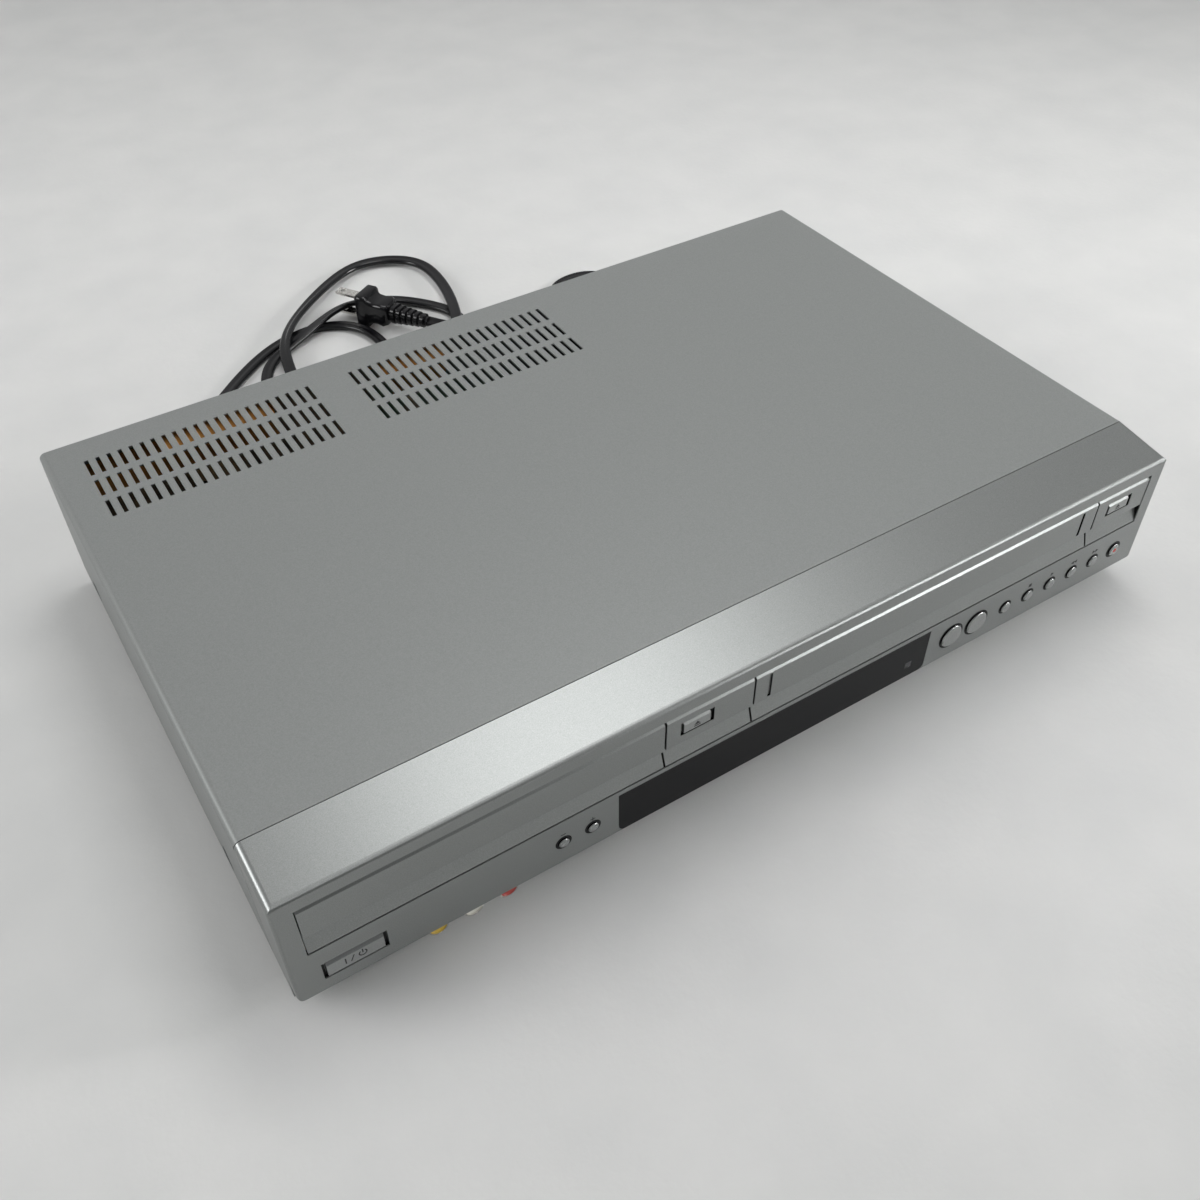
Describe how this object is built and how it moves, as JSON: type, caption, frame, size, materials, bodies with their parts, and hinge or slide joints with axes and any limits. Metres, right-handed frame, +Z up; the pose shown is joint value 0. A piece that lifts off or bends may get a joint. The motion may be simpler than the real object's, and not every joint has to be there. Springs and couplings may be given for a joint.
{
  "type": "disc and cassette player",
  "caption": "Low flat player with a sliding disc tray on the left, a cassette slot with a swinging flap on the right, and a mains cord.",
  "frame": {"origin": "middle of the underside of the player's box, without its mains cord, on the floor that its feet rest on", "axes": "+X to the right seen from the front, +Y from the front face to the rear panel, +Z up"},
  "size_m": [0.43, 0.4883, 0.0785],
  "materials": {
    "cover_steel": "satin metallic grey paint",
    "chassis_steel": "plated sheet steel",
    "front_silver": "satin metallic silver paint on moulded plastic",
    "button_silver": "satin silver",
    "window_black": "smoked, glossy",
    "black_plastic": "moulded",
    "cord_black": "satin vinyl",
    "foot_rubber": "matt",
    "screw_black": "black zinc",
    "bright_metal": "nickel plate",
    "steel": "bright",
    "jack_yellow": "moulded",
    "jack_white": "moulded",
    "jack_red": "moulded",
    "jack_green": "moulded",
    "jack_blue": "moulded",
    "board_green": "solder resist",
    "board_tan": "phenolic board",
    "winding_tape": "tape over copper",
    "capacitor_sleeve": "shrink sleeve",
    "insulator_tan": "fibre sheet",
    "gear_white": "acetal",
    "drum_alloy": "turned"
  },
  "bodies": {
    "case": {"top_cover": "cover_steel", "bottom_plate": "chassis_steel", "rear_panel": "chassis_steel", "front_bezel": "front_silver", "display_window": "window_black", "feet": "foot_rubber", "case_screws": "screw_black", "rca_shells": "bright_metal", "rca_cores_yellow": "jack_yellow", "rca_cores_white": "jack_white", "rca_cores_red": "jack_red", "rca_cores_green": "jack_green", "rca_cores_blue": "jack_blue", "rear_jack_block": "black_plastic", "front_jack_base": "black_plastic", "tuner": "bright_metal", "mains_cord": "cord_black", "cord_bush": "cord_black", "plug_body": "cord_black", "plug_blades": "bright_metal", "main_board": "board_green", "front_board": "board_tan", "power_board": "board_tan", "transformer": "winding_tape", "capacitors": "capacitor_sleeve", "insulator_sheet": "insulator_tan", "loader_frame": "black_plastic", "drive_motors": "steel", "deck_chassis": "chassis_steel", "drum_base": "drum_alloy"},
    "tray": {"tray_door": "front_silver", "disc_tray": "black_plastic"},
    "tray_gear": {"tray_gear": "gear_white"},
    "traverse": {"traverse_frame": "black_plastic", "guide_rods": "steel"},
    "turntable": {"turntable": "black_plastic"},
    "pickup_sled": {"pickup_sled": "steel"},
    "disc_clamper": {"disc_clamper": "gear_white"},
    "flap": {"cassette_flap": "front_silver", "flap_spring": "steel"},
    "carriage": {"carriage_slides": "steel"},
    "holder": {"cassette_holder": "chassis_steel"},
    "head_drum": {"head_drum": "drum_alloy"},
    "capstan": {"capstan": "steel"},
    "pinch_arm": {"pinch_roller": "foot_rubber"},
    "supply_reel": {"supply_reel": "black_plastic"},
    "takeup_reel": {"takeup_reel": "black_plastic"},
    "power_button": {"power_button": "button_silver"},
    "dvd_open_button": {"dvd_open_button": "button_silver"},
    "tape_eject_button": {"tape_eject_button": "button_silver"},
    "channel_down_button": {"channel_down_button": "button_silver"},
    "channel_up_button": {"channel_up_button": "button_silver"},
    "dvd_select_button": {"dvd_select_button": "button_silver"},
    "vcr_select_button": {"vcr_select_button": "button_silver"},
    "input_button": {"input_button": "button_silver"},
    "stop_button": {"stop_button": "button_silver"},
    "play_button": {"play_button": "button_silver"},
    "rewind_button": {"rewind_button": "button_silver"},
    "forward_button": {"forward_button": "button_silver"},
    "record_button": {"record_button": "button_silver"}
  },
  "joints": [
    {"name": "tray_slide", "type": "slide", "parent": "case", "child": "tray", "axis": [0, -1, 0], "range_m": [0, 0.132]},
    {"name": "tray_gear_turn", "type": "hinge", "parent": "case", "child": "tray_gear", "pos_m": [-0.16725, -0.1121, 0.045], "axis": [0, 0, 1], "range_deg": [-2, 780]},
    {"name": "traverse_tilt", "type": "hinge", "parent": "case", "child": "traverse", "pos_m": [-0.13335, 0.0199, 0.038], "axis": [1, 0, 0], "range_deg": [0, 3.5]},
    {"name": "turntable_spin", "type": "hinge", "parent": "traverse", "child": "turntable", "pos_m": [-0.13335, -0.0661, 0.038], "axis": [0, 0, 1], "continuous": true},
    {"name": "sled_slide", "type": "slide", "parent": "traverse", "child": "pickup_sled", "axis": [0, 1, 0], "range_m": [0, 0.032]},
    {"name": "clamper_spin", "type": "hinge", "parent": "case", "child": "disc_clamper", "pos_m": [-0.13335, -0.0661, 0.059], "axis": [0, 0, 1], "continuous": true},
    {"name": "flap_swing", "type": "hinge", "parent": "case", "child": "flap", "pos_m": [0.07795, -0.1375, 0.0712], "axis": [1, 0, 0], "range_deg": [0, 88], "stiffness_Nm_per_rad": 0.02, "springref_deg": -17.19},
    {"name": "carriage_in", "type": "slide", "parent": "case", "child": "carriage", "axis": [0, 1, 0], "range_m": [0, 0.038]},
    {"name": "holder_drop", "type": "slide", "parent": "carriage", "child": "holder", "axis": [0, 0, -1], "range_m": [0, 0.012]},
    {"name": "drum_spin", "type": "hinge", "parent": "case", "child": "head_drum", "pos_m": [0.07795, 0.0219, 0.0335], "axis": [0, -0.0872, 0.9962], "continuous": true},
    {"name": "capstan_spin", "type": "hinge", "parent": "case", "child": "capstan", "pos_m": [0.12595, 0.0019, 0.023], "axis": [0, 0, 1], "continuous": true},
    {"name": "pinch_swing", "type": "hinge", "parent": "case", "child": "pinch_arm", "pos_m": [0.14995, 0.0059, 0.023], "axis": [0, 0, 1], "range_deg": [-70, 0], "stiffness_Nm_per_rad": 0.01},
    {"name": "supply_reel_spin", "type": "hinge", "parent": "case", "child": "supply_reel", "pos_m": [0.03195, -0.0601, 0.023], "axis": [0, 0, 1], "continuous": true},
    {"name": "takeup_reel_spin", "type": "hinge", "parent": "case", "child": "takeup_reel", "pos_m": [0.12395, -0.0601, 0.023], "axis": [0, 0, 1], "continuous": true},
    {"name": "power_press", "type": "slide", "parent": "case", "child": "power_button", "axis": [0, 1, 0], "range_m": [0, 0.0012], "stiffness_N_per_m": 500, "springref_m": -0.0005},
    {"name": "dvd_open_press", "type": "slide", "parent": "case", "child": "dvd_open_button", "axis": [0, 1, 0], "range_m": [0, 0.0012], "stiffness_N_per_m": 500, "springref_m": -0.0005},
    {"name": "tape_eject_press", "type": "slide", "parent": "case", "child": "tape_eject_button", "axis": [0, 1, 0], "range_m": [0, 0.0012], "stiffness_N_per_m": 500, "springref_m": -0.0005},
    {"name": "channel_down_press", "type": "slide", "parent": "case", "child": "channel_down_button", "axis": [0, 1, 0], "range_m": [0, 0.0012], "stiffness_N_per_m": 500, "springref_m": -0.0005},
    {"name": "channel_up_press", "type": "slide", "parent": "case", "child": "channel_up_button", "axis": [0, 1, 0], "range_m": [0, 0.0012], "stiffness_N_per_m": 500, "springref_m": -0.0005},
    {"name": "dvd_select_press", "type": "slide", "parent": "case", "child": "dvd_select_button", "axis": [0, 1, 0], "range_m": [0, 0.0012], "stiffness_N_per_m": 500, "springref_m": -0.0005},
    {"name": "vcr_select_press", "type": "slide", "parent": "case", "child": "vcr_select_button", "axis": [0, 1, 0], "range_m": [0, 0.0012], "stiffness_N_per_m": 500, "springref_m": -0.0005},
    {"name": "input_press", "type": "slide", "parent": "case", "child": "input_button", "axis": [0, 1, 0], "range_m": [0, 0.0012], "stiffness_N_per_m": 500, "springref_m": -0.0005},
    {"name": "stop_press", "type": "slide", "parent": "case", "child": "stop_button", "axis": [0, 1, 0], "range_m": [0, 0.0012], "stiffness_N_per_m": 500, "springref_m": -0.0005},
    {"name": "play_press", "type": "slide", "parent": "case", "child": "play_button", "axis": [0, 1, 0], "range_m": [0, 0.0012], "stiffness_N_per_m": 500, "springref_m": -0.0005},
    {"name": "rewind_press", "type": "slide", "parent": "case", "child": "rewind_button", "axis": [0, 1, 0], "range_m": [0, 0.0012], "stiffness_N_per_m": 500, "springref_m": -0.0005},
    {"name": "forward_press", "type": "slide", "parent": "case", "child": "forward_button", "axis": [0, 1, 0], "range_m": [0, 0.0012], "stiffness_N_per_m": 500, "springref_m": -0.0005},
    {"name": "record_press", "type": "slide", "parent": "case", "child": "record_button", "axis": [0, 1, 0], "range_m": [0, 0.0012], "stiffness_N_per_m": 500, "springref_m": -0.0005}
  ],
  "couplings": [
    {"joint": "tray_gear_turn", "follows": "tray_slide", "rad_per_m": 100},
    {"joint": "traverse_tilt", "follows": "tray_slide", "rad_per_m": 0.42311}
  ]
}
